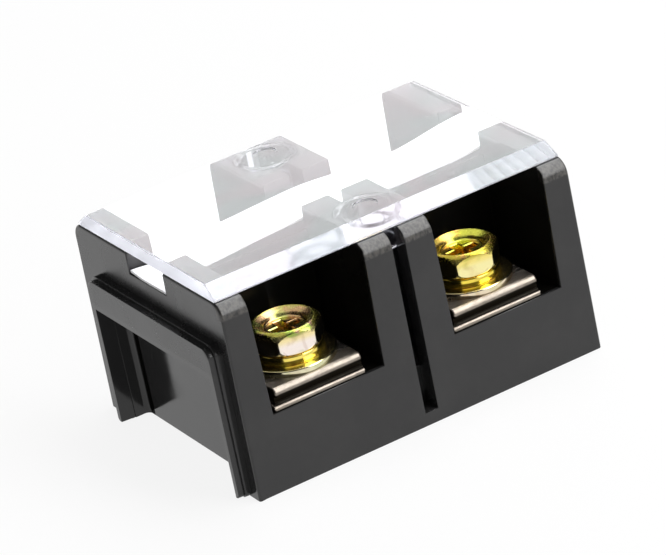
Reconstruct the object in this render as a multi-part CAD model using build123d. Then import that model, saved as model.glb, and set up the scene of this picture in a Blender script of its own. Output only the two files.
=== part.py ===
from build123d import *
import os
from math import radians, sin, tan

# A two-pole barrier terminal strip with a clear cover, in millimetres.
# The origin is on the underside, midway between the two mounting holes.
# X runs along the strip, the front face looks to -Y and +Z is up.

# Moulded base, outside
base_length = 60.0
base_depth = 45.6
base_height = 31.2
outer_draft = 0.55
long_edge_round = 2.4
end_edge_round = 0.4

# Terminal chambers and the ridge between front and back
end_wall = 5.0
middle_block = 12.3
sill_height = 12.1
chamber_draft = 1.2
ridge_thickness = 12.4
channel_depth = 3.5
channel_margin = 0.6

# Middle block slots and mounting holes
slot_width = 2.16
slot_depth = 3.4
slot_foot = 2.1
mounting_spacing = 29.2
mounting_hole_diameter = 5.2
counterbore_floor = 8.0
counterbore_wall = 1.05

# Raised panel and pocket on the left end
panel_front_margin = 2.4
panel_back_margin = 5.0
panel_top_margin = 6.6
tier_thickness = 0.9
tier_ledge = 0.4
tier_draft = 3.0
panel_corner = 2.2
panel_foot_round = 0.8
pocket_side_rim = 1.7
pocket_top_rim = 5.3
pocket_depth = 4.8
pocket_lip = 0.15
pocket_corner = 0.9

# Busbars, and how far each pole sits towards the middle and to the left,
# as shares of the gap beside a plain washer
pole_draw_in_share = 0.07
pole_left_share = 0.36
busbar_side_gap = 2.025
busbar_thickness = 3.0
busbar_recess = 1.2
busbar_end_round = 0.9
busbar_side_round = 0.35
terminal_spacing = 28.2
slip_clearance = 0.1

# Terminal screws and their washers
thread_diameter = 6.0
thread_clearance = 0.05
screw_length = 10.0
head_across_flats = 10.0
head_height = 3.8
head_chamfer_angle = 30.0
head_face_inset = 0.25
dish_rim = 0.7
dish_depth = 1.2
dish_draft = 38.0
cross_inset = 1.45
cross_width = 1.5
cross_depth = 1.9
cross_taper = 8.0
head_turn = 48.6
washer_bore_clearance = 0.35
plain_washer_diameter = 13.8
plain_washer_thickness = 1.0
spring_washer_diameter = 10.4
spring_washer_thickness = 1.3
spring_washer_gap = 0.9
spring_washer_slant = 25.0
spring_washer_gap_bearing = 120.0
washer_edge = 0.15
tip_chamfer = 0.8
relief_clearance = 0.5
relief_depth_beyond_tip = 1.0

# Screws that hold the busbars from below
fixing_diameter = 4.0
fixing_head_diameter = 7.4
fixing_head_height = 2.4
fixing_head_round = 0.8
fixing_bore_depth = 5.0
fixing_end_below_top = 0.5
fixing_head_clearance = 0.4
fixing_shank_clearance = 0.2
fixing_cross_length = 3.6
fixing_cross_width = 0.8
fixing_cross_depth = 1.3

# Clear cover
cover_thickness = 2.1
cover_land = 0.3
cover_overhang = 0.65
cover_side_inset = 2.55
cover_end_inset = 0.35
cover_end_set_back = 0.2
cover_mark_diameter = 3.6
cover_mark_depth = 0.45
plug_wall = 1.0
plug_length = 4.0
plug_clearance = 0.3

# Marker strip
marker_thickness = 0.4
marker_side_gap = 0.25
marker_end_gap = 0.05
marker_curl_start = 2.6
marker_curl_angle = 24.0

# Sizes that follow from the ones above
overcut = 1.0
half_depth = base_depth / 2
sill_half_inner = middle_block / 2
sill_half_outer = base_length / 2 - end_wall
top_draw_in = base_height * tan(radians(outer_draft))
top_half_length = base_length / 2 - top_draw_in
top_half_depth = half_depth - top_draw_in
flat_half_depth = top_half_depth - long_edge_round
shelf_height = base_height - channel_depth
channel_width = ridge_thickness - 2 * channel_margin
counterbore_diameter = middle_block - 2 * counterbore_wall
plug_diameter = counterbore_diameter - 2 * plug_clearance
panel_width = base_depth - panel_front_margin - panel_back_margin
panel_height = base_height - panel_top_margin
panel_shift = (panel_front_margin - panel_back_margin) / 2
pocket_width = panel_width - 2 * pocket_side_rim
pocket_height = panel_height - pocket_top_rim
mounting_places = [-mounting_spacing / 2, mounting_spacing / 2]
chamber_width = sill_half_outer - sill_half_inner
washer_gap = (chamber_width - plain_washer_diameter) / 2
pole_shift = -pole_left_share * washer_gap
pole_reach = (sill_half_outer + sill_half_inner) / 2 - pole_draw_in_share * washer_gap
pole_places = {"left": pole_shift - pole_reach, "right": pole_shift + pole_reach}
busbar_width = chamber_width - 2 * busbar_side_gap
terminal_rows = {"front": -terminal_spacing / 2, "back": terminal_spacing / 2}
busbar_top = sill_height + busbar_thickness
plain_washer_top = busbar_top + plain_washer_thickness
spring_washer_top = plain_washer_top + spring_washer_thickness
screw_tip = spring_washer_top - screw_length
head_face_diameter = head_across_flats - 2 * head_face_inset
dish_diameter = head_face_diameter - 2 * dish_rim
cross_length = dish_diameter - 2 * cross_inset
washer_bore = thread_diameter / 2 - thread_clearance + washer_bore_clearance


def rod(x, y, low, high, diameter):
    """An upright cylinder between two heights."""
    middle = (low + high) / 2
    return Pos(x, y, middle) * Cylinder(diameter / 2, high - low)


def block(x_low, x_high, y_low, y_high, z_low, z_high):
    """A box between two corners."""
    centre = Pos((x_low + x_high) / 2, (y_low + y_high) / 2, (z_low + z_high) / 2)
    return centre * Box(x_high - x_low, y_high - y_low, z_high - z_low)


def outer_body():
    """The drafted block with its rounded long edges."""
    body = extrude(Rectangle(base_length, base_depth), base_height, taper=outer_draft)
    long_edges = body.edges().filter_by(Axis.X).group_by(Axis.Z)[-1]
    body = fillet(long_edges, long_edge_round)
    upright = body.edges().filter_by(lambda e: abs(e.tangent_at(0.5).Z) > 0.9)
    return fillet(upright, end_edge_round)


def chamber_section(side, floor):
    """The drafted cross-section of one pole's opening above a floor."""
    ceiling = base_height + overcut
    widen_low = (floor - sill_height) * tan(radians(chamber_draft))
    widen_high = (ceiling - sill_height) * tan(radians(chamber_draft))
    corners = [
        (side * (sill_half_inner - widen_low), floor),
        (side * (sill_half_outer + widen_low), floor),
        (side * (sill_half_outer + widen_high), ceiling),
        (side * (sill_half_inner - widen_high), ceiling),
    ]
    return make_face(Polyline(*corners, close=True))


def chamber_cut(side, floor, y_low, y_high):
    """One pole's opening from one depth to another."""
    section = Plane.XZ * chamber_section(side, floor)
    return Pos(0, y_high, 0) * extrude(section, y_high - y_low)


def panel_tier(level):
    """One of the two stacked plates of the raised end panel."""
    inset = level * tier_ledge
    width = panel_width - 2 * inset
    top = panel_height - inset
    outline = Plane.YZ * (Pos(panel_shift, top / 2) * Rectangle(width, top))
    upper = outline.vertices().group_by(Axis.Z)[-1]
    outline = fillet(upper, panel_corner - inset)
    lower = outline.vertices().group_by(Axis.Z)[0]
    outline = fillet(lower, panel_foot_round)
    outer = -base_length / 2 - (level + 1) * tier_thickness
    root = -base_length / 2 + overcut
    return Pos(root, 0, 0) * extrude(outline, outer - root, taper=tier_draft)


def end_pocket():
    """The recess in the end panel, open at its foot, with a slightly wider mouth."""
    outer = -base_length / 2 - 2 * tier_thickness
    floor = outer + pocket_depth
    half = pocket_width / 2
    centre = Pos(0, panel_shift, 0)
    recess = centre * block(outer - overcut, floor, -half, half, -overcut, pocket_height)
    corners = recess.edges().filter_by(Axis.Z).group_by(Axis.X)[-1]
    recess = fillet(corners, pocket_corner)
    wide = half + pocket_lip
    mouth = centre * block(outer - overcut, outer + pocket_depth / 2, -wide, wide, -overcut, pocket_height)
    return recess + mouth


def middle_slots():
    """The narrow slots of the middle block, outside and towards the channel."""
    half = slot_width / 2
    high = base_height + overcut
    cuts = []
    for side in (-1, 1):
        outer = sorted((side * (half_depth + overcut), side * (half_depth - slot_depth)))
        cuts.append(block(-half, half, *outer, slot_foot, high))
        inner = sorted((side * (channel_width / 2 - overcut), side * mounting_spacing / 2))
        cuts.append(block(-half, half, *inner, shelf_height, high))
    return cuts


def mounting_bores():
    """Through holes and counterbores that also take the cover's plugs."""
    high = base_height + overcut
    cuts = []
    for y in mounting_places:
        cuts.append(rod(0, y, -overcut, high, mounting_hole_diameter))
        cuts.append(rod(0, y, counterbore_floor, high, counterbore_diameter))
    return cuts


def pole_cuts(x):
    """The slot for one busbar, room for its screws and the bore of its fixing screw."""
    half = busbar_width / 2 + slip_clearance
    ridge = ridge_thickness / 2 + overcut
    cuts = [block(x - half, x + half, -ridge, ridge, sill_height, busbar_top + slip_clearance)]
    relief = thread_diameter + 2 * relief_clearance
    relief_floor = screw_tip - relief_depth_beyond_tip
    for y in terminal_rows.values():
        cuts.append(rod(x, y, relief_floor, sill_height + slip_clearance, relief))
    wide = fixing_head_diameter + 2 * fixing_head_clearance
    narrow = fixing_diameter + 2 * fixing_shank_clearance
    cuts.append(rod(x, 0, -overcut, fixing_bore_depth, wide))
    cuts.append(rod(x, 0, -overcut, sill_height + slip_clearance, narrow))
    return cuts


def base():
    """The moulded base: chambers, ridge, middle block, end panel and bores."""
    body = outer_body()
    for side in (-1, 1):
        ridge = ridge_thickness / 2
        body -= chamber_cut(side, sill_height, -half_depth - overcut, -ridge)
        body -= chamber_cut(side, sill_height, ridge, half_depth + overcut)
        body -= chamber_cut(side, shelf_height, -ridge - overcut, ridge + overcut)
    half = channel_width / 2
    long = base_length / 2 + overcut
    body -= block(-long, long, -half, half, shelf_height, base_height + overcut)
    body += panel_tier(0) + panel_tier(1)
    body -= end_pocket()
    for x in pole_places.values():
        body -= pole_cuts(x)
    body -= middle_slots()
    body -= mounting_bores()
    return body


def busbar(x):
    """A plated bar through the ridge, threaded for its two terminal screws."""
    reach = half_depth - busbar_recess
    half = busbar_width / 2
    bar = block(-half, half, -reach, reach, sill_height, busbar_top)
    bar = fillet(bar.edges().filter_by(Axis.X), busbar_end_round)
    upright = bar.edges().filter_by(Axis.Z)
    bar = fillet(upright, busbar_side_round)
    for y in terminal_rows.values():
        bar -= rod(0, y, sill_height - overcut, busbar_top + overcut, thread_diameter)
    bar -= rod(0, 0, sill_height - overcut, busbar_top + overcut, fixing_diameter + 2 * thread_clearance)
    return Pos(x, 0, 0) * bar


def cross_recess(length, width, depth, mouth_height):
    """A tapered cross recess that opens upwards at a height."""
    bars = Rectangle(length, width) + Rectangle(width, length)
    return Pos(0, 0, mouth_height) * extrude(bars, -depth, taper=cross_taper)


def head_blank(low, high):
    """A hexagon head, its upper corners turned off at an angle."""
    side_radius = head_across_flats / 2
    hexagon = RegularPolygon(side_radius, 6, major_radius=False)
    prism = Pos(0, 0, low) * extrude(Rot(0, 0, head_turn) * hexagon, high - low)
    face = head_face_diameter / 2
    wide = head_across_flats
    drop = (wide - face) * tan(radians(head_chamfer_angle))
    profile = Polyline((0, high), (face, high), (wide, high - drop), (wide, low), (0, low), close=True)
    turned = revolve(Plane.XZ * make_face(profile), Axis.Z)
    return prism & turned


def terminal_screw(x, y):
    """A hexagon screw with a dished top and a cross recess; its thread is plain here."""
    low = spring_washer_top
    high = low + head_height
    screw = head_blank(low, high)
    dish = extrude(Circle(dish_diameter / 2), -dish_depth, taper=dish_draft)
    screw -= Pos(0, 0, high) * dish
    screw -= cross_recess(cross_length, cross_width, cross_depth, high - dish_depth)
    shank = rod(0, 0, screw_tip, low, thread_diameter - 2 * thread_clearance)
    tip = shank.edges().filter_by(GeomType.CIRCLE).group_by(Axis.Z)[0]
    screw += chamfer(tip, tip_chamfer)
    return Pos(x, y, 0) * screw


def ring(low, high, diameter):
    """A flat washer with softened outer edges."""
    disc = rod(0, 0, low, high, diameter)
    disc = chamfer(disc.edges().filter_by(GeomType.CIRCLE), washer_edge)
    return disc - rod(0, 0, low - overcut, high + overcut, 2 * washer_bore)


def plain_washer(x, y):
    """The wide washer that presses on the wire or lug."""
    return Pos(x, y, 0) * ring(busbar_top, plain_washer_top, plain_washer_diameter)


def spring_washer(x, y):
    """The split washer under the head, with a slanting gap."""
    washer = ring(plain_washer_top, spring_washer_top, spring_washer_diameter)
    middle = (plain_washer_top + spring_washer_top) / 2
    reach = spring_washer_diameter
    gap = Pos(reach / 2, 0, middle) * Rot(spring_washer_slant, 0, 0) * Box(reach, spring_washer_gap, reach)
    return Pos(x, y, 0) * (washer - Rot(0, 0, spring_washer_gap_bearing) * gap)


def fixing_screw(x):
    """A pan head screw from below that holds a busbar down."""
    seat = fixing_bore_depth
    head = rod(0, 0, seat - fixing_head_height, seat, fixing_head_diameter)
    rim = head.edges().filter_by(GeomType.CIRCLE).group_by(Axis.Z)[0]
    head = fillet(rim, fixing_head_round)
    cross = cross_recess(fixing_cross_length, fixing_cross_width, fixing_cross_depth, 0)
    head -= Pos(0, 0, seat - fixing_head_height) * Rot(180, 0, 0) * cross
    end = busbar_top - fixing_end_below_top
    return Pos(x, 0, 0) * (head + rod(0, 0, seat, end, fixing_diameter))


def cover():
    """The clear plate with bevelled sides, two round marks and two tubular plugs below it."""
    half_length = top_half_length - cover_end_set_back
    half_width = flat_half_depth + cover_overhang
    low = base_height
    high = low + cover_thickness
    land = Pos(0, 0, low) * extrude(Rectangle(2 * half_length, 2 * half_width), cover_land)
    foot = Pos(0, 0, low + cover_land) * Rectangle(2 * half_length, 2 * half_width)
    crown_length = 2 * (half_length - cover_end_inset)
    crown_width = 2 * (half_width - cover_side_inset)
    crown = Pos(0, 0, high) * Rectangle(crown_length, crown_width)
    plate = land + loft([foot, crown])
    for y in mounting_places:
        plate += rod(0, y, low - plug_length, low, plug_diameter)
        plate -= rod(0, y, low - plug_length - overcut, low, plug_diameter - 2 * plug_wall)
        plate -= rod(0, y, high - cover_mark_depth, high + overcut, cover_mark_diameter)
    return plate


def marker_strip():
    """The blank strip in the channel, its back edge curled up a little."""
    half = channel_width / 2 - marker_side_gap
    low = shelf_height
    thick = marker_thickness
    chord = half - marker_curl_start
    radius = chord / sin(radians(marker_curl_angle))
    centre = (marker_curl_start, low + radius)
    lower = CenterArc(centre, radius, -90, marker_curl_angle)
    upper = CenterArc(centre, radius - thick, -90, marker_curl_angle)
    outline = [
        Line((-half, low), lower @ 0),
        lower,
        Line(lower @ 1, upper @ 1),
        upper,
        Line(upper @ 0, (-half, low + thick)),
        Line((-half, low + thick), (-half, low)),
    ]
    section = Plane.YZ * make_face(outline)
    draw_in = (low + thick) * tan(radians(outer_draft))
    half_length = base_length / 2 - draw_in - marker_end_gap
    return Pos(-half_length, 0, 0) * extrude(section, 2 * half_length)


def parts():
    """Every piece under its node name."""
    pieces = {"base": base(), "cover": cover(), "marker_strip": marker_strip()}
    for side, x in pole_places.items():
        pieces[f"busbar_{side}"] = busbar(x)
        pieces[f"busbar_fixing_screw_{side}"] = fixing_screw(x)
        for row, y in terminal_rows.items():
            pieces[f"terminal_screw_{row}_{side}"] = terminal_screw(x, y)
            pieces[f"spring_washer_{row}_{side}"] = spring_washer(x, y)
            pieces[f"plain_washer_{row}_{side}"] = plain_washer(x, y)
    return pieces


os.makedirs("parts", exist_ok=True)
for name, piece in parts().items():
    export_step(piece, f"parts/{name}.step")
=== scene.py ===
"""A barrier terminal strip: a black moulded block with four clamp screws on two plated bars, and a clear cover."""
import logging
import math
from collections.abc import Callable, Iterator, Mapping, Sequence
from contextlib import contextmanager
from dataclasses import dataclass, field
from enum import Enum
from typing import Any

import bmesh
import bpy
from mathutils import Matrix, Vector


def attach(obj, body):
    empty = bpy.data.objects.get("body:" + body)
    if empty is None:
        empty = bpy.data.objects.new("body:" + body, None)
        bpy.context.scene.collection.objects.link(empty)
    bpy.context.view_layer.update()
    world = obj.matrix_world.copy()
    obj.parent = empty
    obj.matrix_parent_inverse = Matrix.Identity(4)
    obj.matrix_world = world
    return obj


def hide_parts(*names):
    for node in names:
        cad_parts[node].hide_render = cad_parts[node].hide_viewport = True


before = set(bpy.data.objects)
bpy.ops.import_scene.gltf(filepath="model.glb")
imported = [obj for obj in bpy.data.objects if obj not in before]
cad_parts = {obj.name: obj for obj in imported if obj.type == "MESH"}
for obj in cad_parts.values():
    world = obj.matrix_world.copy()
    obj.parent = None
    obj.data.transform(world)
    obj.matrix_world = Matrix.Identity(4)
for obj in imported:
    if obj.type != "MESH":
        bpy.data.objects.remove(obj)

log = logging.getLogger("terminal_strip")

Piece = bpy.types.Object
Socket = bpy.types.NodeSocket
Values = Mapping[int | str, Any]
Pair = tuple[float, float]
Triple = tuple[float, float, float]

MM = 0.001
LEFT_POLE, RIGHT_POLE = -16.307, 14.489
ROW_DEPTH = 14.1
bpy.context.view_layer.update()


# Modelling bench

class Pick(Enum):
    """What a selection in edit mode is made of."""

    POINTS = "VERT"
    EDGES = "EDGE"
    FACES = "FACE"


class Bench:
    """Short calls that model one piece at a time with the edit tools. Sizes are in millimetres."""

    @staticmethod
    def clear() -> None:
        """Deselects every object."""
        bpy.ops.object.select_all(action="DESELECT")

    @staticmethod
    def focus(piece: Piece) -> None:
        """Makes a piece the only selected object, and the active one."""
        Bench.clear()
        piece.select_set(True)
        bpy.context.view_layer.objects.active = piece

    @staticmethod
    @contextmanager
    def editing(piece: Piece, kind: Pick = Pick.FACES) -> Iterator[None]:
        """Opens a piece in edit mode with nothing selected, and closes it at the end.

        Args:
            piece: The object to edit.
            kind: What the selections inside are made of.
        """
        Bench.focus(piece)
        bpy.ops.object.mode_set(mode="EDIT")
        bpy.ops.mesh.select_mode(type=kind.value)
        bpy.ops.mesh.select_all(action="DESELECT")
        yield
        bpy.ops.object.mode_set(mode="OBJECT")

    @staticmethod
    def pick(piece: Piece, kind: Pick, test: Callable[[Any], bool]) -> int:
        """Selects the points, edges or faces that pass a test, and nothing else.

        Args:
            piece: The object that is open in edit mode.
            kind: What is looked through.
            test: Takes a point, edge or face, and says whether it is wanted.

        Returns:
            How many were selected.
        """
        bpy.ops.mesh.select_all(action="DESELECT")
        mesh = bmesh.from_edit_mesh(piece.data)
        parts = {Pick.POINTS: mesh.verts, Pick.EDGES: mesh.edges, Pick.FACES: mesh.faces}[kind]
        found = [part for part in parts if test(part)]
        for part in found:
            part.select_set(True)
        mesh.select_flush_mode()
        bmesh.update_edit_mesh(piece.data)
        return len(found)

    @staticmethod
    def take(name: str) -> Piece:
        """Names the primitive that was just added, and puts its place and size into its mesh."""
        piece = bpy.context.object
        piece.name = piece.data.name = name
        bpy.ops.object.transform_apply(location=True, rotation=True, scale=True)
        return piece

    @staticmethod
    def apply(piece: Piece, kind: str, **settings: Any) -> None:
        """Gives a piece a modifier of a kind with these settings, and applies it."""
        Bench.focus(piece)
        step = piece.modifiers.new(kind.lower(), kind)
        for name, value in settings.items():
            setattr(step, name, value)
        bpy.ops.object.modifier_apply(modifier=step.name)

    @staticmethod
    def drum(name: str, radius: float, low: float, high: float, sides: int = 96) -> Piece:
        """Adds a closed cylinder about the Z axis, the start of a turned piece.

        Args:
            name: The new object's name.
            radius: Its radius.
            low: The height of its lower end.
            high: The height of its upper end.
            sides: How many sides the circle has.

        Returns:
            The new object.
        """
        Bench.clear()
        bpy.ops.mesh.primitive_cylinder_add(vertices=sides, radius=radius * MM, depth=(high - low) * MM,
                                            location=(0, 0, (low + high) / 2 * MM), end_fill_type="NGON")
        return Bench.take(name)

    @staticmethod
    def brick(name: str, size: Sequence[float], centre: Sequence[float]) -> Piece:
        """Adds a cuboid of a size about a centre, the start of a cutter."""
        Bench.clear()
        bpy.ops.mesh.primitive_cube_add(size=1, location=[value * MM for value in centre],
                                        scale=[value * MM for value in size])
        return Bench.take(name)

    @staticmethod
    def turn_end(piece: Piece, upward: bool, outline: Sequence[Pair]) -> None:
        """Shapes one end of a drum as on a lathe, by insets from its rim to its middle.

        Args:
            piece: A drum about the Z axis.
            upward: Whether it is the upper end.
            outline: The radius and height of each ring, from the rim inwards. The first is the rim itself.
        """
        way = 1 if upward else -1
        with Bench.editing(piece):
            Bench.pick(piece, Pick.FACES, lambda face: face.normal.z * way > 0.99 and len(face.verts) > 8)
            for (radius, height), (next_radius, next_height) in zip(outline, outline[1:]):
                bpy.ops.mesh.inset(thickness=(radius - next_radius) * MM, depth=(next_height - height) * way * MM)

    @staticmethod
    def bore(piece: Piece) -> None:
        """Opens a hole through a drum by bridging its two innermost end faces."""
        with Bench.editing(piece):
            Bench.pick(piece, Pick.FACES, lambda face: abs(face.normal.z) > 0.99 and len(face.verts) > 8)
            bpy.ops.mesh.bridge_edge_loops()

    @staticmethod
    def slice_off(piece: Piece, point: Sequence[float], outward: Sequence[float]) -> None:
        """Cuts a piece along a plane, keeps what is behind it and closes the cut."""
        with Bench.editing(piece):
            bpy.ops.mesh.select_all(action="SELECT")
            bpy.ops.mesh.bisect(plane_co=[value * MM for value in point], plane_no=outward,
                                use_fill=True, clear_outer=True, threshold=1e-7)

    @staticmethod
    def combine(piece: Piece, tool: Piece, operation: str) -> None:
        """Joins a tool to a piece or cuts it out of it, and removes the tool.

        Args:
            piece: The object that is kept.
            tool: The object that is used up.
            operation: UNION, DIFFERENCE or INTERSECT.
        """
        Bench.apply(piece, "BOOLEAN", operation=operation, solver="EXACT", object=tool)
        bpy.data.objects.remove(tool)

    @staticmethod
    def soften(piece: Piece, width: float, segments: int = 2, angle: float = 35) -> None:
        """Rounds the edges that are sharper than an angle, and evens out the shading."""
        Bench.apply(piece, "BEVEL", width=width * MM, segments=segments, limit_method="ANGLE",
                    angle_limit=math.radians(angle), use_clamp_overlap=False, miter_outer="MITER_ARC")
        Bench.even(piece)

    @staticmethod
    def soften_by_place(piece: Piece, widths: Sequence[tuple[float, Callable[[Any], bool]]],
                        segments: int = 2) -> None:
        """Rounds groups of edges, each with its own width, and evens out the shading.

        Args:
            piece: The object.
            widths: The width of each group in millimetres, and a test that says whether an edge is in it.
            segments: How many faces a rounding has across.
        """
        widest = max(width for width, _ in widths)
        for width, test in widths:
            with Bench.editing(piece, Pick.EDGES):
                if Bench.pick(piece, Pick.EDGES, test):
                    bpy.ops.transform.edge_bevelweight(value=width / widest)
        Bench.apply(piece, "BEVEL", width=widest * MM, segments=segments, limit_method="WEIGHT",
                    use_clamp_overlap=False, miter_outer="MITER_ARC")
        Bench.even(piece)

    @staticmethod
    def even(piece: Piece, crease: float = 52) -> None:
        """Shades a piece smoothly, with large faces flat and edges over the crease angle sharp."""
        Bench.focus(piece)
        bpy.ops.object.shade_smooth_by_angle(angle=math.radians(crease))
        Bench.apply(piece, "WEIGHTED_NORMAL", mode="FACE_AREA", weight=50, keep_sharp=True)

    @staticmethod
    def from_node(node: str, name: str, joined: bool = True) -> Piece:
        """Copies a CAD node's mesh, welds its loose triangles and clears their seams.

        Args:
            node: The node's name.
            name: The new object's name.
            joined: Whether the triangles of a flat face become one face.

        Returns:
            The closed copy.
        """
        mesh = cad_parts[node].data.copy()
        mesh.name = name
        mesh.materials.clear()
        piece = bpy.data.objects.new(name, mesh)
        bpy.context.scene.collection.objects.link(piece)
        with Bench.editing(piece):
            bpy.ops.mesh.select_all(action="SELECT")
            bpy.ops.mesh.customdata_custom_splitnormals_clear()
            bpy.ops.mesh.remove_doubles(threshold=1e-6)
            bpy.ops.mesh.select_all(action="SELECT")
            if joined:
                bpy.ops.mesh.dissolve_limited(angle_limit=math.radians(0.6))
            else:
                bpy.ops.mesh.dissolve_degenerate(threshold=1e-6)
        return piece

    @staticmethod
    def copy_to(piece: Piece, name: str, x: float, y: float) -> Piece:
        """Copies a piece with its own mesh, and moves the copy's mesh to a place."""
        mesh = piece.data.copy()
        mesh.name = name
        mesh.transform(Matrix.Translation((x * MM, y * MM, 0)))
        copy = bpy.data.objects.new(name, mesh)
        bpy.context.scene.collection.objects.link(copy)
        return copy


# Materials

class Field:
    """A number or colour that varies over a surface. Plain arithmetic on it adds the nodes."""

    def __init__(self, graph: "Graph", socket: Socket) -> None:
        """Keeps the graph and the socket that gives the values."""
        self.graph = graph
        self.socket = socket

    def _math(self, operation: str, *values: Any) -> "Field":
        """Adds a Math node of an operation on these values."""
        return self.graph.field("Math", {"operation": operation}, dict(enumerate(values)))

    def __add__(self, other: Any) -> "Field":
        """This plus the other."""
        return self._math("ADD", self, other)

    def __sub__(self, other: Any) -> "Field":
        """This minus the other."""
        return self._math("SUBTRACT", self, other)

    def __rsub__(self, other: Any) -> "Field":
        """The other minus this."""
        return self._math("SUBTRACT", other, self)

    def __mul__(self, other: Any) -> "Field":
        """This times the other."""
        return self._math("MULTIPLY", self, other)

    def __pow__(self, other: Any) -> "Field":
        """This to the power of the other."""
        return self._math("POWER", self, other)

    def size(self) -> "Field":
        """This without its sign."""
        return self._math("ABSOLUTE", self)

    def larger(self, other: Any) -> "Field":
        """The larger of this and the other."""
        return self._math("MAXIMUM", self, other)

    def between(self, low: float, high: float) -> "Field":
        """Rises smoothly from 0 at low to 1 at high."""
        return self.graph.field("MapRange", {"interpolation_type": "SMOOTHSTEP"},
                                {"Value": self, "From Min": low, "From Max": high})

    def past(self, edge: Sequence[float]) -> "Field":
        """Rises smoothly from 0 to 1 across a soft edge, given by two lengths in millimetres."""
        return self.between(edge[0] * MM, edge[1] * MM)

    def within(self, edges: Sequence[float]) -> "Field":
        """1 inside a stretch and 0 outside it, given by its two soft edges, four lengths in millimetres."""
        return self.past(edges[:2]) * (1 - self.past(edges[2:]))

    def blend(self, first: Any, second: Any) -> "Field":
        """Goes from a first colour at 0 to a second at 1."""
        return self.graph.field("Mix", {"data_type": "RGBA"},
                                {"Factor_Float": self, "A_Color": first, "B_Color": second}, "Result_Color")


class Graph:
    """A material's or world's nodes as they are put together."""

    def __init__(self, owner: bpy.types.Material | bpy.types.World) -> None:
        """Starts with an empty node tree."""
        owner.use_nodes = True
        self.owner = owner
        self.tree = owner.node_tree
        self.tree.nodes.clear()

    def node(self, kind: str, settings: Mapping[str, Any] | None = None,
             values: Values | None = None) -> bpy.types.Node:
        """Adds a node.

        Args:
            kind: The node's type, without the ShaderNode before it.
            settings: Its options by name.
            values: Its inputs by number, identifier or name, each a constant, a Field or a shader's output.

        Returns:
            The node.
        """
        made = self.tree.nodes.new(f"ShaderNode{kind}")
        for name, value in (settings or {}).items():
            setattr(made, name, value)
        for key, value in (values or {}).items():
            socket = self._input(made, key)
            if isinstance(value, Field):
                value = value.socket
            if isinstance(value, Socket):
                self.tree.links.new(value, socket)
            elif isinstance(value, (tuple, list)) and len(value) == 3 and socket.type == "RGBA":
                socket.default_value = (*value, 1)
            else:
                socket.default_value = value
        return made

    @staticmethod
    def _input(node: bpy.types.Node, key: int | str) -> Socket:
        """Finds a node's input by number, or by identifier, or by name."""
        if isinstance(key, int):
            return node.inputs[key]
        for socket in node.inputs:
            if socket.identifier == key:
                return socket
        return node.inputs[key]

    def field(self, kind: str, settings: Mapping[str, Any] | None = None,
              values: Values | None = None, output: int | str = 0) -> Field:
        """Adds a node and gives one of its outputs as a Field."""
        made = self.node(kind, settings, values)
        if isinstance(output, str):
            for socket in made.outputs:
                if socket.identifier == output:
                    return Field(self, socket)
        return Field(self, made.outputs[output])

    def place(self, stretch: Sequence[float] = (1, 1, 1), shift: Sequence[float] = (0, 0, 0)) -> Field:
        """The place on the object, stretched along its axes and shifted."""
        where = self.field("TexCoord", output="Object")
        return self.field("Mapping", {"vector_type": "POINT"},
                          {"Vector": where, "Location": tuple(shift), "Scale": tuple(stretch)})

    def parts(self) -> tuple[Field, Field, Field]:
        """The place on the object as three numbers, in metres."""
        where = self.field("TexCoord", output="Object")
        split = self.node("SeparateXYZ", None, {"Vector": where})
        return Field(self, split.outputs[0]), Field(self, split.outputs[1]), Field(self, split.outputs[2])

    def noise(self, size: float, detail: float = 3, stretch: Sequence[float] = (1, 1, 1),
              shift: Sequence[float] = (0, 0, 0), distortion: float = 0) -> Field:
        """Soft random variation, about 0 to 1.

        Args:
            size: How large its patches are, in millimetres.
            detail: How many finer layers it has.
            stretch: How much finer it is along each axis.
            shift: Where in the pattern the object sits.
            distortion: How far the patches are bent.

        Returns:
            The variation.
        """
        return self.field("TexNoise", None,
                          {"Vector": self.place(stretch, shift), "Scale": 1 / (size * MM), "Detail": detail,
                           "Roughness": 0.55, "Distortion": distortion}, "Fac")

    def bump(self, height: Field, depth: float, below: Field | None = None) -> Field:
        """A surface relief of a depth in millimetres, on another relief where one is given."""
        values: dict[int | str, Any] = {"Strength": 1.0, "Distance": depth * MM, "Height": height}
        if below is not None:
            values["Normal"] = below
        return self.field("Bump", None, values)

    def shader(self, kind: str, values: Values) -> Socket:
        """A shader of a kind with these inputs."""
        return self.node(f"{kind}", None, values).outputs[0]

    def surface(self, values: Values) -> Socket:
        """A Principled surface with these inputs."""
        return self.shader("BsdfPrincipled", values)

    def mix(self, share: Any, first: Socket, second: Socket) -> Socket:
        """The first shader at a share of 0, the second at 1."""
        return self.shader("MixShader", {0: share, 1: first, 2: second})

    def finish(self, shader: Socket) -> None:
        """Connects the finished shader to the output."""
        kind = "OutputWorld" if isinstance(self.owner, bpy.types.World) else "OutputMaterial"
        self.node(kind, None, {"Surface": shader})


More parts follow.
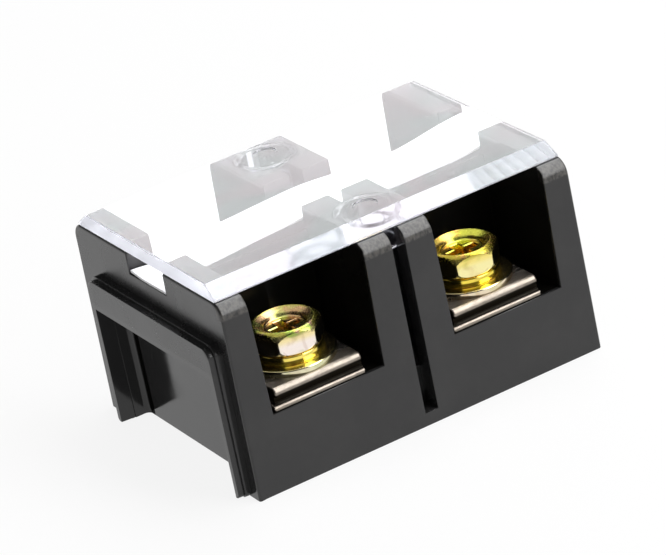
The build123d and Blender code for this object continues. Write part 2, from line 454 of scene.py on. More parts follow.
@dataclass(frozen=True)
class BlackMoulding:
    """Black thermoset straight from the mould: faintly uneven, with a half-gloss skin."""

    colour: Triple = (0.016, 0.0158, 0.0162)
    dusty: Triple = (0.021, 0.0205, 0.0205)
    smooth: float = 0.09
    rough: float = 0.15
    grain_size: float = 0.35
    grain_depth: float = 0.002
    flow_size: float = 9.0
    flow_depth: float = 0.012
    # Painted shade: the near-black diffuse colour of the chambers and the end pocket, and how much of it is laid on.
    painted_shade_share: float = 0.93
    painted_shade: Triple = (0.0022, 0.002, 0.0014)
    # Painted highlight: the pale grey that the rounded upper corners are lightened towards.
    painted_light_tone: Triple = (0.08, 0.075, 0.068)
    shoulder_rough: float = 0.12
    satin_rough: float = 0.14
    chamber_across: tuple[float, ...] = (5.4, 5.8, 25.2, 25.9)
    chamber_mouth: Pair = (21.9, 22.5)
    chamber_above: tuple[float, ...] = (11.9, 12.05, 30.2, 31.0)
    pocket_across: tuple[float, ...] = (26.75, 26.95, 31.3, 31.7)
    pocket_wall: tuple[float, ...] = (14.1, 14.3, 15.3, 15.6)
    pocket_top: Pair = (19.0, 19.6)
    end_wall: Pair = (29.5, 29.7)
    end_wall_foot: Pair = (20.0, 20.3)
    shoulder_start: Pair = (21.0, 21.3)
    shoulder_foot: Pair = (28.6, 29.0)

    def material(self) -> bpy.types.Material:
        """Builds the material."""
        graph = Graph(bpy.data.materials.new("black_moulding"))
        cloud = graph.noise(7.0, 4)
        grain = graph.noise(self.grain_size, 2)
        flow = graph.noise(self.flow_size, 2, shift=(0.3, 0.1, 0.7))
        relief = graph.bump(grain, self.grain_depth, graph.bump(flow, self.flow_depth))
        rough = cloud.between(0.3, 0.7) * (self.rough - self.smooth) + self.smooth + (grain - 0.5) * 0.04
        fine = graph.noise(0.7, 4, stretch=(1.6, 1, 1), shift=(0.9, 0.2, 0.5))
        plain = cloud.between(0.35, 0.75).blend(self.colour, self.dusty)
        # Painted highlight: on the rounded upper corners the colour goes in streaks towards a pale grey, with the
        # roughness raised there.
        skin = graph.surface({"Base Color": (self.shoulder(graph) * fine.between(0.3, 0.7)).blend(plain, self.painted_light_tone),
                              "Roughness": (rough + self.shoulder(graph) * self.shoulder_rough
                                            + self.satin(graph) * self.satin_rough),
                              "IOR": 1.5, "Normal": relief})
        # Painted shade: a near-black diffuse surface mixed over the chambers and the end pocket.
        painted_shade_surface = graph.shader("BsdfDiffuse", {"Color": self.painted_shade, "Normal": relief})
        graph.finish(graph.mix(self.inside(graph) * self.painted_shade_share, skin, painted_shade_surface))
        return graph.owner

    def inside(self, graph: Graph) -> Field:
        """1 on the walls and floors of the chambers and the end pocket's back wall, which get painted shade, 0
        outside them.
        """
        x, y, z = graph.parts()
        chambers = (x.size().within(self.chamber_across) * (1 - y.size().past(self.chamber_mouth))
                    * z.within(self.chamber_above))
        pocket = (x * -1).within(self.pocket_across) * y.within(self.pocket_wall) * (1 - z.past(self.pocket_top))
        return chambers.larger(pocket)

    def satin(self, graph: Graph) -> Field:
        """1 on the end wall above the stepped panel, 0 elsewhere."""
        x, _, z = graph.parts()
        return (x * -1).past(self.end_wall) * z.past(self.end_wall_foot)

    def shoulder(self, graph: Graph) -> Field:
        """1 on the rounded upper corners of the walls, which carry a painted highlight, 0 elsewhere."""
        _, y, z = graph.parts()
        return y.size().past(self.shoulder_start) * z.past(self.shoulder_foot)


@dataclass(frozen=True)
class ClearCover:
    """Clear moulded plastic with faint flow lines. Light passes it, so what lies below isn't in its shadow."""

    name: str = "clear_cover"
    colour: Triple = (0.98, 0.96, 0.985)
    bend: float = 1.585
    tint: Triple = (0.965, 0.985, 0.98)
    # Painted light: the lighter colour taken towards the right end.
    painted_light_colour: Triple = (0.98, 0.96, 0.985)
    # Painted shade: the darker colour taken at the ends.
    painted_end_shade: Triple = (0.97, 0.97, 0.985)
    streak_depth: float = 0.0005
    streak_size: float = 2.2
    rough: float = 0.012
    uneven: float = 0.03
    end_rough: float = 0.0
    end_start: Pair = (29.0, 29.3)
    painted_light_start: Pair = (17.0, 25.0)
    rosy: tuple[float, ...] = (1.0, 0.84, 0.93, 1)
    cool: tuple[float, ...] = (0.84, 0.98, 1.0, 1)
    shadow: Triple = (0.92, 0.92, 0.95)

    def material(self) -> bpy.types.Material:
        """Builds the material."""
        graph = Graph(bpy.data.materials.new(self.name))
        streaks = graph.noise(self.streak_size, 3, stretch=(0.25, 0.5, 2.5), distortion=0.6)
        stress = graph.noise(13.0, 1, shift=(0.4, 0.3, 0.8), distortion=0.5)
        relief = graph.bump(streaks, self.streak_depth)
        x = graph.parts()[0]
        # Painted shade: past the ends the colour goes darker, mostly on the rim material.
        at_end = x.size().past(self.end_start)
        # Painted light: the colour lightens towards the right end; it differs only on the rim material.
        long_side = x.past(self.painted_light_start).blend(self.colour, self.painted_light_colour)
        values = {"Base Color": at_end.blend(streaks.between(0.35, 0.7).blend(long_side, self.tint), self.painted_end_shade),
                  "Roughness": streaks.between(0.35, 0.8) * self.uneven + self.rough + at_end * self.end_rough,
                  "IOR": self.bend, "Transmission Weight": 1.0, "Normal": relief}
        rosy, cool = (graph.surface({**values, "Specular Tint": tint}) for tint in (self.rosy, self.cool))
        clear = graph.mix(stress.between(0.38, 0.62), rosy, cool)
        light = graph.node("LightPath")
        passing = graph.shader("BsdfTransparent", {"Color": self.shadow})
        graph.finish(graph.mix(light.outputs["Is Shadow Ray"], clear, passing))
        return graph.owner


@dataclass(frozen=True)
class WhiteStrip:
    """Plain white strip material, slightly uneven."""

    colour: Triple = (0.87, 0.87, 0.875)
    shade: Triple = (0.83, 0.83, 0.84)
    rough: float = 0.55

    def material(self) -> bpy.types.Material:
        """Builds the material."""
        graph = Graph(bpy.data.materials.new("white_strip"))
        cloud = graph.noise(4.0, 4)
        fibre = graph.noise(0.5, 3, stretch=(0.3, 1, 1))
        graph.finish(graph.surface({"Base Color": cloud.between(0.3, 0.75).blend(self.colour, self.shade),
                                    "Roughness": fibre * 0.12 + (self.rough - 0.06),
                                    "Normal": graph.bump(fibre, 0.006)}))
        return graph.owner


@dataclass(frozen=True)
class NickelPlate:
    """Satin nickel over brass bar: drawn lines along its length and a warm cast, with painted shade towards the ends
    and in the grooves across them.
    """

    colour: Triple = (0.78, 0.72, 0.65)
    warm: Triple = (0.72, 0.63, 0.52)
    # Painted shade: the dull browns that the bars go to towards their ends.
    end_light: Triple = (0.27, 0.235, 0.195)
    end_dark: Triple = (0.17, 0.145, 0.12)
    # Painted shade: near black in the grooves across the bars' ends.
    cut: Triple = (0.012, 0.01, 0.007)
    rough: float = 0.24
    groove_shade_reach: Pair = (20.9, 21.0)
    groove_shade_height: tuple[float, ...] = (12.85, 13.0, 14.0, 14.3)
    end_start: Pair = (17.5, 20.0)

    def material(self) -> bpy.types.Material:
        """Builds the material."""
        graph = Graph(bpy.data.materials.new("nickel_plate"))
        lines = graph.noise(0.35, 3, stretch=(0.04, 1, 1))
        cloud = graph.noise(3.5, 3, shift=(0.5, 0.2, 0.1))
        _, y, z = graph.parts()
        # Painted shade: the groove across each bar's end is coloured near black.
        groove_shade = y.size().past(self.groove_shade_reach) * z.within(self.groove_shade_height)
        plated = cloud.between(0.35, 0.75).blend(self.colour, self.warm)
        # Painted shade: towards both ends the colour goes to a dull brown, for the dark that the bars reflect there.
        end = y.size().past(self.end_start)
        fine = graph.noise(0.5, 3, stretch=(0.5, 1, 1), shift=(0.2, 0.7, 0.3))
        painted_light_tone = fine.between(0.3, 0.75).blend(self.end_light, self.end_dark)
        graph.finish(graph.surface({"Base Color": groove_shade.blend((end * 0.9).blend(plated, painted_light_tone), self.cut),
                                    "Metallic": 1.0, "Roughness": lines * 0.16 + (self.rough - 0.08) + end * 0.12,
                                    "Normal": graph.bump(lines, 0.002)}))
        return graph.owner


@dataclass(frozen=True)
class YellowZinc:
    """Yellow passivated zinc: gold that wanders to rose and green, as the film's thickness does."""

    name: str
    washer: Triple
    gold: Triple
    side: Triple
    # Painted shade: the darker colour of the crown.
    top: Triple
    rose: Triple
    green: Triple
    # Painted shade: the darker colour of the dish and the cross recess.
    dish: Triple
    pole: float
    row: float = ROW_DEPTH
    dish_edge: Pair = (4.15, 4.4)
    dish_floor: Pair = (17.8, 18.0)
    washer_top: Pair = (15.9, 16.3)
    flats_foot: Pair = (17.3, 17.9)
    flats_top: Pair = (18.9, 20.2)
    crown_foot: Pair = (20.1, 20.9)
    calm_end: Pair = (20.2, 20.6)
    dull_start: Pair = (19.9, 20.4)
    rough: float = 0.16
    patch: float = 1.9

    def material(self) -> bpy.types.Material:
        """Builds the material. The film is thickest on the split washer and thinnest on the head's flats. The crown
        and the dish are darkened with painted shade.
        """
        graph = Graph(bpy.data.materials.new(self.name))
        film = graph.noise(self.patch, 1, distortion=0.6)
        tint = graph.noise(self.patch * 1.3, 1, shift=(0.7, 0.4, 0.2), distortion=0.4)
        x, y, z = graph.parts()
        radius = ((x - self.pole * MM) ** 2 + (y.size() - self.row * MM) ** 2) ** 0.5
        # Painted shade: the mask of the dish and the cross recess, which take a darker colour.
        dish_shade_mask = z.past(self.dish_floor) * (1 - radius.past(self.dish_edge))
        height = z + (film - 0.5) * (0.2 * MM)
        colour = height.past(self.washer_top).blend(self.washer, self.gold)
        colour = height.past(self.flats_foot).blend(colour, self.side)
        colour = (height.past(self.flats_top) * 0.6).blend(colour, self.gold)
        # Painted shade: the crown goes to the darker top colour.
        colour = height.past(self.crown_foot).blend(colour, self.top)
        calm = height.past(self.calm_end) * 0.6 + 0.25
        colour = (film.between(0.5, 0.66) * calm).blend(colour, self.rose)
        colour = (tint.between(0.52, 0.68) * calm).blend(colour, self.green)
        yellow = (self.dish[0], self.dish[0], self.dish[2])
        colour = dish_shade_mask.blend(colour, tint.between(0.42, 0.6).blend(self.dish, yellow))
        crowned = height.past(self.dull_start)
        wear = graph.noise(0.3, 3, shift=(0.1, 0.6, 0.3))
        graph.finish(graph.surface({"Base Color": colour, "Metallic": 1.0,
                                    "Roughness": wear * 0.14 + (self.rough - 0.07) + crowned * 0.1,
                                    "Normal": graph.bump(wear, 0.0015)}))
        return graph.owner


# Sub-assemblies

class Row(Enum):
    """The two rows of terminals."""

    FRONT = "front"
    BACK = "back"


class Side(Enum):
    """The two poles."""

    LEFT = "left"
    RIGHT = "right"


def hand_over(piece: Piece, body: str, slot: str, material: bpy.types.Material, *nodes: str) -> None:
    """Dresses a finished piece, hangs it on its body and hides the CAD nodes that it stands for.

    Args:
        piece: The finished object.
        body: The body that it rides on.
        slot: Not used.
        material: Its material.
        nodes: The CAD nodes that it stands for.
    """
    piece.data.materials.clear()
    piece.data.materials.append(material)
    for face in piece.data.polygons:
        face.material_index = 0
    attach(piece, body)
    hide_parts(*nodes)
    log.info("%s: %d faces, rides on %s", piece.name, len(piece.data.polygons), body)


@dataclass
class Base:
    """The moulded block with its chambers, slots and stepped end panel."""

    edge: float = 0.14
    fine_edge: float = 0.05
    panel_face: float = -29.85
    panel_foot: Pair = (-26.0, 0.9)
    pocket: Pair = (-26.5, 19.6)
    sharp: float = 35.0
    finish: BlackMoulding = field(default_factory=BlackMoulding)

    def build(self) -> None:
        """Softens the block's moulded edges and dresses it."""
        piece = Bench.from_node("base", "moulded_block", joined=False)
        Bench.soften_by_place(piece, ((self.edge, lambda edge: self.is_sharp(edge) and not self.is_fine(edge)),
                                      (self.fine_edge, lambda edge: self.is_sharp(edge) and self.is_fine(edge))))
        hand_over(piece, "base", "black_moulding", self.finish.material(), "base")

    def is_sharp(self, edge: Any) -> bool:
        """Whether an edge stands out at a clear angle and isn't the foot of the end panel."""
        if len(edge.link_faces) != 2 or not edge.is_convex or edge.calc_face_angle(0) < math.radians(self.sharp):
            return False
        return not all(point.co.z < self.panel_foot[1] * MM and point.co.x < self.panel_foot[0] * MM
                       for point in edge.verts)

    def is_fine(self, edge: Any) -> bool:
        """Whether an edge belongs to the stepped end panel or its pocket, where the steps are small."""
        middle = (edge.verts[0].co + edge.verts[1].co) / 2
        in_pocket = middle.x < self.pocket[0] * MM and middle.z < self.pocket[1] * MM
        return middle.x < self.panel_face * MM or in_pocket


@dataclass
class Cover:
    """The clear plate with bevelled sides and two tubular plugs."""

    edge: float = 0.12
    seat: float = 31.2
    air_gap: float = 0.04
    mark_floor: float = 32.85
    mark_lift: float = 0.28
    rim: Pair = (28.95, 18.0)
    finish: ClearCover = field(default_factory=ClearCover)
    # The rim material is painted lighter towards the right end (painted light) and darker at the ends (painted
    # shade).
    rim_finish: ClearCover = field(default_factory=lambda: ClearCover(
        "clear_rim", colour=(0.755, 0.76, 0.83), tint=(0.735, 0.74, 0.82), painted_light_colour=(0.93, 0.93, 0.965),
        painted_end_shade=(0.7, 0.71, 0.79),
        streak_depth=0.0003, streak_size=5.0, rough=0.1, uneven=0.1, end_rough=0.22))

    def build(self) -> None:
        """Lifts the plate's underside a hair off the block, softens the edges and dresses it."""
        piece = Bench.from_node("cover", "clear_plate")
        with Bench.editing(piece):
            for way, level, rise in ((-1, self.seat, self.air_gap), (1, self.mark_floor, self.mark_lift)):
                Bench.pick(piece, Pick.FACES, lambda face: face.normal.z * way > 0.99
                           and abs(face.calc_center_median().z - level * MM) < 0.01 * MM)
                bpy.ops.transform.translate(value=(0, 0, rise * MM))
        Bench.soften_by_place(piece, ((self.edge, self.is_soft),))
        hand_over(piece, "cover", "clear_cover", self.finish.material(), "cover")
        piece.data.materials.append(self.rim_finish.material())
        for face in piece.data.polygons:
            outer = abs(face.center.x) > self.rim[0] * MM or abs(face.center.y) > self.rim[1] * MM
            bevelled = outer and face.center.z > self.seat * MM and abs(face.normal.z) < 0.95
            if bevelled or face.center.z < (self.seat - 0.1) * MM:
                face.material_index = 1

    def is_soft(self, edge: Any) -> bool:
        """Whether an edge is sharp and isn't the foot of the plate."""
        if len(edge.link_faces) != 2 or edge.calc_face_angle(0) < math.radians(35):
            return False
        return not all(abs(point.co.z - self.seat * MM) < 0.1 * MM for point in edge.verts)


@dataclass
class MarkerStrip:
    """The loose white strip in the channel under the cover: it isn't quite flat, and lifts at its ends."""

    half_length: float = 29.64
    half_width: float = 5.34
    floor: float = 27.7
    thickness: float = 0.4
    edge: float = 0.06
    lifts: tuple[tuple[float, float, float, float], ...] = (
        (-4.5, -5.34, 1.15, 17.0), (1.0, 5.34, 0.75, 15.0), (29.64, 5.34, 1.75, 14.0), (29.64, -5.34, 0.8, 10.0),
        (-29.64, 5.34, 0.3, 4.0), (-17.0, -5.34, 0.4, 12.0), (-15.0, 5.34, 0.35, 12.0), (17.0, 0.0, 0.35, 14.0))
    finish: WhiteStrip = field(default_factory=WhiteStrip)

    def build(self) -> None:
        """Lays out a flat sheet, lifts it in places, gives it its thickness and dresses it."""
        Bench.clear()
        bpy.ops.mesh.primitive_grid_add(x_subdivisions=96, y_subdivisions=18, size=2 * self.half_length * MM,
                                        location=(0, 0, self.floor * MM))
        piece = Bench.take("white_marker_strip")
        with Bench.editing(piece):
            bpy.ops.mesh.select_all(action="SELECT")
            bpy.ops.transform.resize(value=(1, self.half_width / self.half_length, 1), center_override=(0, 0, 0))
        for x, y, rise, reach in self.lifts:
            with Bench.editing(piece, Pick.POINTS):
                Bench.pick(piece, Pick.POINTS, lambda point: abs(point.co.x - x * MM) < 0.4 * MM
                           and abs(point.co.y - y * MM) < 0.4 * MM)
                bpy.ops.transform.translate(value=(0, 0, rise * MM), use_proportional_edit=True,
                                            proportional_edit_falloff="SMOOTH", proportional_size=reach * MM)
        Bench.apply(piece, "SOLIDIFY", thickness=self.thickness * MM, offset=1.0)
        Bench.soften(piece, self.edge)
        hand_over(piece, "base", "white_strip", self.finish.material(), "marker_strip")


@dataclass
class Bars:
    """The two plated bars and the screws that hold them from below."""

    bar_edge: float = 0.12
    screw_edge: float = 0.08
    reach: float = 21.6
    width: float = 14.8
    floor: float = 12.1
    groove: Pair = (12.95, 13.85)
    groove_depth: float = 0.5
    lip_reach: float = 22.55
    lip_sides: Pair = (-8.2, 7.1)
    lip_drop: float = 0.06
    lip_rounding: float = 0.3
    centres: Pair = (LEFT_POLE, RIGHT_POLE)
    finish: NickelPlate = field(default_factory=NickelPlate)

    def build(self) -> None:
        """Softens and dresses both bars and both fixing screws."""
        material = self.finish.material()
        for side in Side:
            bar = Bench.from_node(f"busbar_{side.value}", f"plated_bar_{side.value}")
            self.step_ends(bar, self.centres[0 if side is Side.LEFT else 1])
            hand_over(bar, "base", "nickel_plate", material, f"busbar_{side.value}")
            screw = Bench.from_node(f"busbar_fixing_screw_{side.value}", f"fixing_screw_{side.value}")
            Bench.soften(screw, self.screw_edge)
            hand_over(screw, "base", "nickel_plate", material, f"busbar_fixing_screw_{side.value}")

    def step_ends(self, bar: Piece, x: float) -> None:
        """Rounds a bar's edges, cuts a groove across both its ends, and lets the lip below the groove stand out.

        Args:
            bar: The bar.
            x: The middle of its width.
        """
        low, high = self.groove
        Bench.soften(bar, self.bar_edge, 3)
        for way in (-1, 1):
            groove = Bench.brick("groove_cutter", (self.width + 2, 2 * self.groove_depth, high - low),
                                 (x, way * self.reach, (low + high) / 2))
            Bench.combine(bar, groove, "DIFFERENCE")
        for way in (-1, 1):
            depth = self.lip_reach - self.reach + 2
            left, right = self.lip_sides
            lip = Bench.brick("lip", (right - left, depth, low - self.floor - self.lip_drop),
                              (x + (left + right) / 2, way * (self.lip_reach - depth / 2), (low + self.floor) / 2))
            with Bench.editing(lip, Pick.EDGES):
                Bench.pick(lip, Pick.EDGES, lambda edge: all(point.co.y * way > (self.lip_reach - 0.1) * MM
                                                             for point in edge.verts))
                bpy.ops.mesh.bevel(offset=self.lip_rounding * MM, segments=4, affect="EDGES")
            Bench.combine(bar, lip, "UNION")
        Bench.even(bar)


@dataclass
class ClampScrew:
    """A hexagon clamp screw: barrelled corners, a dished top with a cross recess, and a rolled thread."""

    barrel: float = 5.64
    flat_distance: float = 5.0
    flat_bearing: float = 18.6
    side_low: float = 18.5
    side_high: float = 19.7
    crown: tuple[Pair, ...] = (
        (5.64, 19.7), (5.61, 19.95), (5.53, 20.2), (5.4, 20.45), (5.22, 20.68), (5.02, 20.88), (4.82, 21.03),
        (4.66, 21.13), (4.54, 21.18), (4.42, 21.2), (4.32, 21.18), (4.2, 21.08), (4.02, 20.96), (3.8, 20.84),
        (3.58, 20.72), (3.42, 20.56), (3.3, 20.32), (3.2, 20.12), (3.08, 20.02), (2.92, 20.0))
    underside: tuple[Pair, ...] = (
        (5.64, 18.5), (5.61, 18.3), (5.53, 18.08), (5.4, 17.86), (5.22, 17.66), (5.02, 17.5), (4.85, 17.42),
        (4.7, 17.4))
    recess_length: float = 5.2
    recess_width: float = 1.5
    recess_depth: float = 1.9
    recess_floor_share: float = 0.72
    recess_flare: float = 0.12
    root: float = 2.45
    crest: float = 2.95
    pitch: float = 1.0
    tip: float = 7.4
    neck: float = 15.2
    turns: int = 10
    turn_steps: int = 48
    edge: float = 0.1

    def head(self) -> Piece:
        """Turns the blank, cuts its six flats and sinks the cross recess."""
        piece = Bench.drum("clamp_screw", self.barrel, self.side_low, self.side_high)
        Bench.turn_end(piece, True, self.crown)
        Bench.turn_end(piece, False, self.underside)
        for turn in range(6):
            angle = math.radians(self.flat_bearing + 60 * turn)
            outward = (math.cos(angle), math.sin(angle), 0.0)
            Bench.slice_off(piece, [value * self.flat_distance for value in outward], outward)
        floor = self.crown[-1][1]
        Bench.combine(piece, self.recess_cutter(floor), "DIFFERENCE")
        with Bench.editing(piece, Pick.EDGES):
            Bench.pick(piece, Pick.EDGES, lambda edge: self.is_mouth(edge, floor))
            bpy.ops.mesh.bevel(offset=self.recess_flare * MM, segments=2, affect="EDGES")
        Bench.soften(piece, self.edge, 2, 28)
        return piece

    def is_mouth(self, edge: Any, floor: float) -> bool:
        """Whether an edge belongs to the recess's mouth in the dish's floor."""
        level = all(abs(point.co.z - floor * MM) < 1e-6 and point.co.xy.length < 2.8 * MM for point in edge.verts)
        return level and edge.calc_face_angle(0) > math.radians(40)

    def recess_cutter(self, floor: float) -> Piece:
        """A cross with arms along X and Y, narrower at its foot."""
        half = self.recess_width / 2
        low, high = floor - self.recess_depth, floor + 0.8
        cutter = Bench.brick("recess_cutter", (2 * half, 2 * half, high - low), (0, 0, (low + high) / 2))
        reach = (self.recess_length / 2 - half) * MM
        for axis in range(2):
            for way in (1, -1):
                with Bench.editing(cutter):
                    Bench.pick(cutter, Pick.FACES, lambda face: face.normal[axis] * way > 0.99
                               and abs(face.calc_center_median()[1 - axis]) < 1e-6)
                    move = [0.0, 0.0, 0.0]
                    move[axis] = way * reach
                    bpy.ops.mesh.extrude_region_move(TRANSFORM_OT_translate={"value": move})
        share = self.recess_floor_share
        with Bench.editing(cutter, Pick.POINTS):
            Bench.pick(cutter, Pick.POINTS, lambda point: point.co.z < (low + 0.1) * MM)
            bpy.ops.transform.resize(value=(share, share, 1), center_override=(0, 0, low * MM))
        return cutter

    def thread(self) -> Piece:
        """Winds one turn's outline into a thread, trims it level and points its tip."""
        Bench.clear()
        bpy.ops.mesh.primitive_plane_add(size=MM, location=(0, 0, 0))
        piece = Bench.take("thread")
        rise = self.crest - self.root
        steps = ((0, 0.15), (rise, 0.3), (0, 0.1), (-rise, 0.3), (0, 0.15))
        with Bench.editing(piece, Pick.POINTS):
            bpy.ops.mesh.select_all(action="SELECT")
            bpy.ops.mesh.merge(type="CENTER")
            bpy.ops.transform.translate(value=(self.root * MM, 0, (self.tip - 1.5) * MM))
            for out, up in steps:
                bpy.ops.mesh.extrude_region_move(
                    TRANSFORM_OT_translate={"value": (out * MM, 0, up * self.pitch * MM)})
        Bench.apply(piece, "SCREW", axis="Z", screw_offset=self.pitch * MM, iterations=self.turns,
                    steps=self.turn_steps, render_steps=self.turn_steps, use_normal_calculate=True)
        with Bench.editing(piece):
            bpy.ops.mesh.select_all(action="SELECT")
            bpy.ops.mesh.remove_doubles(threshold=2e-6)
            bpy.ops.mesh.select_all(action="SELECT")
            bpy.ops.mesh.normals_make_consistent(inside=False)
        Bench.slice_off(piece, (0, 0, self.neck), (0, 0, 1))
        Bench.slice_off(piece, (0, 0, self.tip + 0.6), (0, 0, -1))
        for way, level, length, share in ((1, self.neck, 2.4, 0.93), (-1, self.tip + 0.6, 0.6, 0.78)):
            with Bench.editing(piece):
                Bench.pick(piece, Pick.FACES, lambda face: face.normal.z * way > 0.99 and len(face.verts) > 8)
                bpy.ops.mesh.extrude_region_move(TRANSFORM_OT_translate={"value": (0, 0, way * length * MM)})
                bpy.ops.transform.resize(value=(share, share, 1), center_override=(0, 0, level * MM))
        with Bench.editing(piece):
            bpy.ops.mesh.select_all(action="SELECT")
            bpy.ops.mesh.normals_make_consistent(inside=False)
        return piece

    def model(self) -> Piece:
        """Joins the head to the threaded shank."""
        piece = self.head()
        Bench.combine(piece, self.thread(), "UNION")
        Bench.even(piece, 32)
        return piece


@dataclass
class PlainWasher:
    """The wide washer, with the rolled edge of a stamped part."""

    radius: float = 6.9
    bore: float = 3.3
    low: float = 15.1
    high: float = 16.1

    def model(self) -> Piece:
        """Turns the washer and bores it."""
        radius, bore, low, high = self.radius, self.bore, self.low, self.high
        piece = Bench.drum("plain_washer", radius, low + 0.08, high - 0.22)
        Bench.turn_end(piece, True, ((radius, high - 0.22), (radius - 0.05, high - 0.1), (radius - 0.14, high - 0.03),
                                     (radius - 0.28, high), (bore + 0.14, high), (bore + 0.04, high - 0.04),
                                     (bore, high - 0.14)))
        Bench.turn_end(piece, False, ((radius, low + 0.08), (radius - 0.03, low + 0.02), (radius - 0.09, low),
                                      (bore + 0.06, low), (bore, low + 0.06)))
        Bench.bore(piece)
        Bench.even(piece)
        return piece


@dataclass
class SpringWasher:
    """The split washer of square wire with its slanting gap."""

    radius: float = 5.2
    bore: float = 3.3
    low: float = 16.1
    high: float = 17.4
    gap: float = 0.9
    slant: float = 25.0
    bearing: float = 120.0

    def model(self) -> Piece:
        """Turns the ring and cuts its gap."""
        radius, bore = self.radius, self.bore
        piece = Bench.drum("spring_washer", radius, self.low + 0.18, self.high - 0.18)
        for way, level in ((1, self.high), (-1, self.low)):
            Bench.turn_end(piece, way > 0, ((radius, level - 0.18 * way), (radius - 0.05, level - 0.06 * way),
                                            (radius - 0.16, level), (bore + 0.16, level),
                                            (bore + 0.05, level - 0.06 * way), (bore, level - 0.18 * way)))
        Bench.bore(piece)
        middle = (self.low + self.high) / 2
        cutter = Bench.brick("gap_cutter", (radius, self.gap, 2 * radius), (radius / 2 + 0.2, 0, 0))
        cutter.data.transform(Matrix.Translation((0, 0, middle * MM))
                              @ Matrix.Rotation(math.radians(self.bearing), 4, "Z")
                              @ Matrix.Rotation(math.radians(self.slant), 4, "X"))
        Bench.combine(piece, cutter, "DIFFERENCE")
        Bench.soften(piece, 0.06, 2, 40)
        return piece


@dataclass
class Terminals:
    """The four clamp screws with their washers, modelled once and copied to their places."""

    poles: tuple[tuple[Side, float], ...] = ((Side.LEFT, LEFT_POLE), (Side.RIGHT, RIGHT_POLE))
    rows: tuple[tuple[Row, float], ...] = ((Row.FRONT, -ROW_DEPTH), (Row.BACK, ROW_DEPTH))
    screw: ClampScrew = field(default_factory=ClampScrew)
    plain: PlainWasher = field(default_factory=PlainWasher)
    spring: SpringWasher = field(default_factory=SpringWasher)
    finishes: tuple[tuple[Side, YellowZinc], ...] = (
        (Side.LEFT, YellowZinc("yellow_zinc_pale", washer=(0.78, 0.74, 0.5), gold=(0.93, 0.74, 0.16),
                               side=(0.95, 0.85, 0.78), top=(0.4, 0.36, 0.07), rose=(0.5, 0.3, 0.22),
                               green=(0.3, 0.42, 0.08), dish=(0.52, 0.33, 0.16), pole=LEFT_POLE)),
        (Side.RIGHT, YellowZinc("yellow_zinc_rich", washer=(0.82, 0.7, 0.5), gold=(0.93, 0.72, 0.1),
                                side=(0.95, 0.86, 0.42), top=(0.5, 0.4, 0.05), rose=(0.56, 0.3, 0.1),
                                green=(0.42, 0.46, 0.06), dish=(0.66, 0.45, 0.09), pole=RIGHT_POLE)))

    def build(self) -> None:
        """Makes one of each and hands over the twelve copies."""
        originals = (("terminal_screw", "clamp_screw", self.screw.model()),
                     ("spring_washer", "split_washer", self.spring.model()),
                     ("plain_washer", "flat_washer", self.plain.model()))
        materials = {side: finish.material() for side, finish in self.finishes}
        for side, x in self.poles:
            for row, y in self.rows:
                at = f"{row.value}_{side.value}"
                for node, name, original in originals:
                    piece = Bench.copy_to(original, f"{name}_{at}", x, y)
                    body = f"terminal_screw_{at}" if node == "terminal_screw" else f"washers_{at}"
                    hand_over(piece, body, "yellow_zinc", materials[side], f"{node}_{at}")
        for _, _, original in originals:
            bpy.data.objects.remove(original)


# Studio

@dataclass(frozen=True)
class Softbox:
    """A rectangular lamp that faces the strip, its second side along a direction where one is given."""

    name: str
    centre: Triple
    size: Pair
    power: float
    lens_only: bool = False
    along: Triple | None = None

    def light(self) -> None:
        """Hangs the lamp."""
        lamp = bpy.data.lights.new(self.name, "AREA")
        lamp.shape, lamp.size, lamp.size_y = "RECTANGLE", self.size[0], self.size[1]
        lamp.energy = self.power
        holder = bpy.data.objects.new(self.name, lamp)
        holder.location = self.centre
        holder.rotation_euler = (-Vector(self.centre)).to_track_quat("-Z", "Y").to_euler()
        if self.along is not None:
            long = Vector(self.along).normalized()
            back = (Vector(self.centre) - long * long.dot(Vector(self.centre))).normalized()
            holder.rotation_euler = Matrix((long.cross(back), long, back)).transposed().to_euler()
        holder.visible_camera = False
        holder.visible_transmission = not self.lens_only
        bpy.context.scene.collection.objects.link(holder)


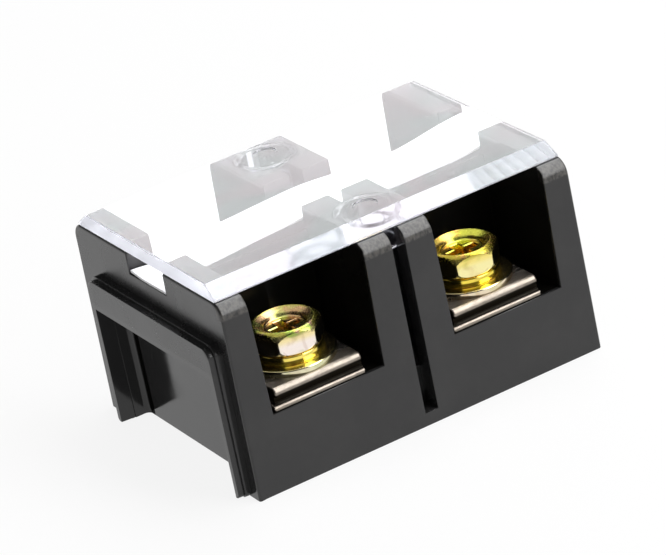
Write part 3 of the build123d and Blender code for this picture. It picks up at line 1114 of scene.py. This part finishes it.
@dataclass
class Studio:
    """A pale floor, soft light and the camera."""

    camera_place: Triple = (-0.238468, -0.481073, 0.263968)
    camera_turn: Triple = (64.83501, 10.505825, -31.246969)
    lens: float = 214.56
    floor_level: float = -0.02
    backdrop: float = 1.0
    ambient: float = 0.25
    overhead: float = 0.12
    shadow_share: float = 0.12
    bounces: int = 28
    lamps: tuple[Softbox, ...] = (
        Softbox("top_softbox", (0.245, -0.17, 0.45), (0.26, 1.1), 4.9, along=(0, 0.904, 0.427)),
        Softbox("back_softbox", (0.32, 0.65, 0.33), (0.45, 0.35), 1.45, lens_only=True))

    def build(self) -> None:
        """Sets up the floor, the lamps, the surroundings and the camera."""
        self.floor()
        for lamp in self.lamps:
            lamp.light()
        self.surroundings()
        self.camera()
        scene = bpy.context.scene
        scene.view_settings.view_transform = "Standard"
        for kind in ("max_bounces", "glossy_bounces", "transmission_bounces"):
            setattr(scene.cycles, kind, self.bounces)
        log.info("studio: %d lamps, camera at %s", len(self.lamps), self.camera_place)

    @staticmethod
    def seen(graph: Graph) -> Field:
        """1 for a ray that shows the surroundings: straight, in a reflection, or through the clear cover."""
        path = graph.node("LightPath")
        straight, glossy, through = (Field(graph, path.outputs[name])
                                     for name in ("Is Camera Ray", "Is Glossy Ray", "Is Transmission Ray"))
        return straight.larger(glossy).larger(through)

    def floor(self) -> None:
        """Lays the pale floor, which keeps the strip's soft shadow."""
        Bench.clear()
        bpy.ops.mesh.primitive_plane_add(size=8, location=(0, 0, self.floor_level * MM))
        plane = bpy.context.object
        plane.name = plane.data.name = "floor"
        graph = Graph(bpy.data.materials.new("pale_floor"))
        lit = graph.shader("BsdfDiffuse", {"Color": (0.82, 0.82, 0.82)})
        white = graph.shader("Emission", {"Color": (1, 1, 1), "Strength": self.backdrop})
        graph.finish(graph.mix(self.seen(graph), lit, graph.mix(self.shadow_share, white, lit)))
        plane.data.materials.append(graph.owner)

    def surroundings(self) -> None:
        """Makes the world white where it is seen, and a soft fill where it lights."""
        world = bpy.data.worlds.new("surroundings")
        bpy.context.scene.world = world
        graph = Graph(world)
        path = graph.node("LightPath")
        way = graph.field("TexCoord", output="Generated")
        rise = Field(graph, graph.node("SeparateXYZ", None, {"Vector": way}).outputs[2])
        glossy, through = (Field(graph, path.outputs[name]) for name in ("Is Glossy Ray", "Is Transmission Ray"))
        mirrored = glossy * (1 - through)
        dark = rise.between(0.05, 0.32) * mirrored * (self.backdrop - self.overhead)
        strength = self.seen(graph) * (self.backdrop - self.ambient) + self.ambient - dark
        graph.finish(graph.shader("Background", {"Color": (1, 1, 1), "Strength": strength}))

    def camera(self) -> None:
        """Sets the camera at the photograph's viewpoint."""
        data = bpy.data.cameras.new("camera")
        data.lens, data.sensor_width, data.sensor_fit = self.lens, 36.0, "HORIZONTAL"
        data.clip_start, data.clip_end = 0.01, 50.0
        holder = bpy.data.objects.new("camera", data)
        holder.location = self.camera_place
        holder.rotation_euler = [math.radians(value) for value in self.camera_turn]
        bpy.context.scene.collection.objects.link(holder)
        bpy.context.scene.camera = holder


def main() -> None:
    """Builds the strip piece by piece, and then the studio."""
    logging.basicConfig(level=logging.INFO, format="%(name)s: %(message)s")
    Bench.clear()
    for assembly in (Base(), Cover(), MarkerStrip(), Bars(), Terminals(), Studio()):
        assembly.build()


if __name__ == "__main__":
    main()
